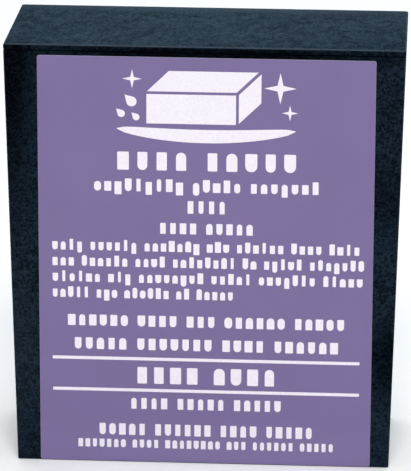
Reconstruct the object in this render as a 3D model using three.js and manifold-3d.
// A detailing clay bar in its storage case: a tapered moulded tub with a flush lift-off lid,
// a printed label on the front wall, and inside it one block of clay in a folded film wrap.
// Millimetres, +Z up. The label faces -Y. The origin is on the surface that the case stands on,
// under the middle of the closed case.

import * as THREE from "three";
import { mergeVertices } from "three/addons/utils/BufferGeometryUtils.js";
import Module from "manifold-3d";

// ---- Driving dimensions ----

// Closed case, outside. Width and depth are those at the top, where the taper is widest.
const caseWidth = 70;
const caseDepth = 31.5;
const caseHeight = 76.8;
const draft = THREE.MathUtils.degToRad(1.35); // each wall leans in by this much towards the foot
const cornerRadius = 0.35; // upright corners
const edgeRadius = 0.3; // rounding along the lid's top edge
const footEdgeRadius = 0.2; // rounding along the tub's bottom edge

// Tub
const wall = 1.8;
const floor = 2;
const cavityCornerRadius = 1.6;
const cavityFloorRadius = 1;
const footRimWidth = 3; // flat rim that the case stands on
const footRecess = 0.6; // how far the underside is hollowed inside that rim

// Lid: a plate that sits on the tub's rim, and a skirt that plugs its mouth
const lidPlate = 1;
const seam = 0.15; // open line between plate and rim
const skirtDepth = 4;
const skirtWall = 1.2;
const skirtClearance = 0.15; // between the skirt and the tub's inner wall
const skirtLeadIn = 0.4; // rounding along the skirt's lower edge

// Label
const labelWidth = 58.9;
const labelBottom = 0.15; // height of its lower edge
const labelTopMargin = 0.7; // from its upper edge to the tub's rim
const labelThickness = 0.15;
const labelCornerRadius = 0.4;
const labelOffset = 0.4; // stuck slightly to the right of the middle
const adhesive = 0.05; // gap between the label and the wall

// Clay and its wrap
const clayWidth = 61;
const clayDepth = 22.6;
const clayHeight = 67.6;
const clayCornerRadius = 3; // upright edges
const clayEdgeRadius = 2; // top and bottom edges
const wrapThickness = 0.3;
const wrapGap = 0.3; // between the clay and the film, and between the film and the tub's floor
const mouthWidth = 50; // open slit where the film's mouth is folded over the top
const mouthSlit = 1.2;
const mouthInset = 3; // from the wrap's back face to the slit

// ---- Derived sizes ----

const lidBottom = caseHeight - lidPlate;
const tubTop = lidBottom - seam;
const lean = Math.tan(draft);
const cavityWidth = caseWidth - 2 * wall;
const cavityDepth = caseDepth - 2 * wall;
const wrapBottom = floor + wrapGap;
const clayBottom = wrapBottom + wrapThickness + wrapGap;
const beyond = 3; // how far a cutting shape runs past the face that it cuts

// ---- Materials ----

const blackPlastic = { color: "#101418", roughness: 0.62, metalness: 0 };
const tubPlastic = new THREE.MeshStandardMaterial(blackPlastic);
const lidPlastic = new THREE.MeshStandardMaterial(blackPlastic);
const purpleVinyl = new THREE.MeshStandardMaterial({ color: "#8273a0", roughness: 0.45, metalness: 0 });
const clayPutty = new THREE.MeshStandardMaterial({ color: "#7f6da6", roughness: 0.8, metalness: 0 });
const clearFilm = new THREE.MeshStandardMaterial({ color: "#e6ebee", roughness: 0.2, metalness: 0 });

// ---- Shape helpers ----

// A rectangle centred on the origin, with round corners.
function roundedRectangle(width, depth, radius) {
  const x = width / 2 - radius;
  const y = depth / 2 - radius;
  const quarter = Math.PI / 2;
  const shape = new THREE.Shape();
  shape.absarc(x, -y, radius, -quarter, 0);
  shape.absarc(x, y, radius, 0, quarter);
  shape.absarc(-x, y, radius, quarter, 2 * quarter);
  shape.absarc(-x, -y, radius, 2 * quarter, 3 * quarter);
  shape.closePath();
  return shape;
}

// An upright block from one height to another, with its top and bottom edges rounded by edge.
function block({ width, depth, corner, edge, from, to }) {
  const geometry = new THREE.ExtrudeGeometry(roundedRectangle(width, depth, corner), {
    depth: to - from - 2 * edge,
    curveSegments: 6,
    bevelEnabled: edge > 0,
    bevelThickness: edge,
    bevelSize: edge,
    bevelOffset: -edge,
    bevelSegments: 4,
  });
  return geometry.translate(0, 0, from + edge);
}

// Leans every wall of a block inwards below the top of the case, by the moulding's draft.
function drafted(geometry) {
  const position = geometry.attributes.position;
  for (let i = 0; i < position.count; i++) {
    const inset = (caseHeight - position.getZ(i)) * lean;
    position.setX(i, position.getX(i) - Math.sign(position.getX(i)) * inset);
    position.setY(i, position.getY(i) - Math.sign(position.getY(i)) * inset);
  }
  return geometry;
}

// ---- Joining and cutting ----

const wasm = await Module();
wasm.setup();

function toSolid(geometry) {
  const bare = geometry.clone();
  bare.deleteAttribute("normal");
  bare.deleteAttribute("uv");
  const shared = mergeVertices(bare);
  return new wasm.Manifold(
    new wasm.Mesh({
      numProp: 3,
      vertProperties: new Float32Array(shared.attributes.position.array),
      triVerts: new Uint32Array(shared.index.array),
    }),
  );
}

function toGeometry(solid) {
  const { vertProperties, triVerts } = solid.getMesh();
  const geometry = new THREE.BufferGeometry();
  geometry.setAttribute("position", new THREE.BufferAttribute(vertProperties, 3));
  geometry.setIndex(new THREE.BufferAttribute(triVerts, 1));
  geometry.computeVertexNormals();
  return geometry;
}

function cut(body, ...tools) {
  return tools.reduce((left, tool) => left.subtract(toSolid(tool)), toSolid(body));
}

// A plain slab wider than the case, for trimming a block flat at a height.
function trimSlab(from, to) {
  const slab = new THREE.BoxGeometry(caseWidth * 2, caseDepth * 2, to - from);
  return slab.translate(0, 0, (from + to) / 2);
}

// ---- Parts ----

// The tub: one drafted shell, open at its wide end, standing on a flat rim.
function makeTub() {
  const outside = drafted(
    block({
      width: caseWidth,
      depth: caseDepth,
      corner: cornerRadius,
      edge: footEdgeRadius,
      from: 0,
      to: tubTop + beyond,
    }),
  );
  const cavity = drafted(
    block({
      width: cavityWidth,
      depth: cavityDepth,
      corner: cavityCornerRadius,
      edge: cavityFloorRadius,
      from: floor,
      to: tubTop + beyond,
    }),
  );
  const footInset = 2 * (footRimWidth + caseHeight * lean);
  const recess = block({
    width: caseWidth - footInset,
    depth: caseDepth - footInset,
    corner: cavityCornerRadius,
    edge: 0,
    from: -beyond,
    to: footRecess,
  });
  return toGeometry(cut(outside, cavity, recess, trimSlab(tubTop, tubTop + 2 * beyond)));
}

// The lid: a plate flush with the tub's walls, and a hollow skirt that plugs the tub's mouth.
function makeLid() {
  const plate = cut(
    drafted(
      block({
        width: caseWidth,
        depth: caseDepth,
        corner: cornerRadius,
        edge: edgeRadius,
        from: lidBottom - beyond,
        to: caseHeight,
      }),
    ),
    trimSlab(lidBottom - 2 * beyond, lidBottom),
  );
  const skirtBottom = tubTop - skirtDepth;
  const skirtWidth = cavityWidth - 2 * skirtClearance;
  const skirtSpan = cavityDepth - 2 * skirtClearance;
  const skirtCorner = cavityCornerRadius - skirtClearance;
  const skirt = cut(
    drafted(
      block({
        width: skirtWidth,
        depth: skirtSpan,
        corner: skirtCorner,
        edge: skirtLeadIn,
        from: skirtBottom,
        to: lidBottom + lidPlate / 2 + skirtLeadIn,
      }),
    ),
    drafted(
      block({
        width: skirtWidth - 2 * skirtWall,
        depth: skirtSpan - 2 * skirtWall,
        corner: skirtLeadIn,
        edge: 0,
        from: skirtBottom - beyond,
        to: lidBottom,
      }),
    ),
    trimSlab(lidBottom + lidPlate / 2, lidBottom + lidPlate),
  );
  return toGeometry(plate.add(skirt));
}

// The label: a thin sheet with round corners, lying on the leaning front wall.
// Its own mesh is drawn flat, with its lower edge on y = 0, and the group below tilts it into place.
function makeLabel() {
  const height = (tubTop - labelTopMargin - labelBottom) / Math.cos(draft);
  const geometry = new THREE.ExtrudeGeometry(roundedRectangle(labelWidth, height, labelCornerRadius), {
    depth: labelThickness,
    curveSegments: 6,
    bevelEnabled: false,
  });
  return geometry.translate(0, height / 2, adhesive);
}

// The clay: one soft-edged block. With a gap, the same block grown by that much on every side.
function makeClay(gap = 0) {
  return block({
    width: clayWidth + 2 * gap,
    depth: clayDepth + 2 * gap,
    corner: clayCornerRadius + gap,
    edge: clayEdgeRadius + gap,
    from: clayBottom - gap,
    to: clayBottom + clayHeight + gap,
  });
}

// The wrap: a film box round the clay, its mouth folded over the top and left open as a slit.
function makeWrap() {
  const top = clayBottom + clayHeight;
  const mouth = new THREE.BoxGeometry(mouthWidth, mouthSlit, 2 * beyond);
  mouth.translate(0, clayDepth / 2 - mouthInset, top + beyond + wrapGap / 2);
  return toGeometry(cut(makeClay(wrapGap + wrapThickness), makeClay(wrapGap), mouth));
}

// ---- Assembly ----

function named(name, geometry, material) {
  const mesh = new THREE.Mesh(geometry, material);
  mesh.name = name;
  return mesh;
}

const clayCase = new THREE.Group();
clayCase.add(named("case_tub", makeTub(), tubPlastic));
clayCase.add(named("case_lid", makeLid(), lidPlastic));

// The group stands on the front wall at the label's lower edge, with its z axis out of the wall.
const frontWall = new THREE.Group();
frontWall.position.set(labelOffset, -caseDepth / 2 + (caseHeight - labelBottom) * lean, labelBottom);
frontWall.rotation.x = Math.PI / 2 + draft;
frontWall.add(named("front_label", makeLabel(), purpleVinyl));
clayCase.add(frontWall);

const wrappedClay = new THREE.Group();
wrappedClay.add(named("clay_bar", makeClay(), clayPutty));
wrappedClay.add(named("clay_wrap", makeWrap(), clearFilm));
clayCase.add(wrappedClay);

export default clayCase;
